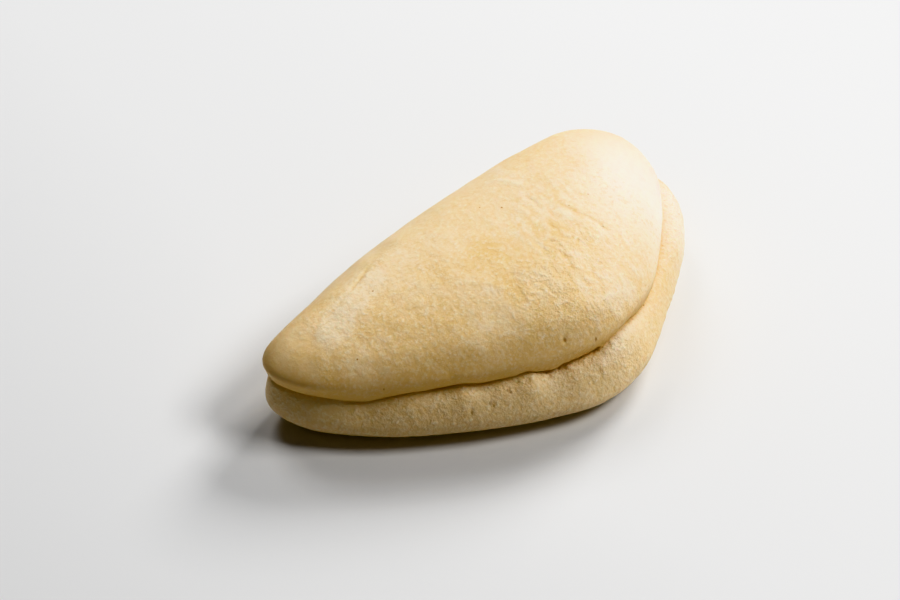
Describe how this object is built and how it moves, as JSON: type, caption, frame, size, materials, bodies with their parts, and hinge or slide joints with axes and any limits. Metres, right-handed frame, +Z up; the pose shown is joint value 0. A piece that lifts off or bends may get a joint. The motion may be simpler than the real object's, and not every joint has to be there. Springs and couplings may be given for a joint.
{
  "type": "folded steamed bun",
  "caption": "Soft steamed dough bun folded in half, with a rounded fold, a domed upper flap and a protruding lower flap that meet in a closed seam.",
  "frame": {"origin": "middle of the bun's outline seen from above, on the surface it lies on", "axes": "+X along the fold to the thicker end, +Y towards the fold, +Z up"},
  "size_m": [0.1152, 0.061, 0.0339],
  "materials": {
    "dough": "matte steamed dough, warm cream, finely dimpled, browner towards the seam"
  },
  "bodies": {
    "root": {"bun": "dough"}
  },
  "joints": []
}
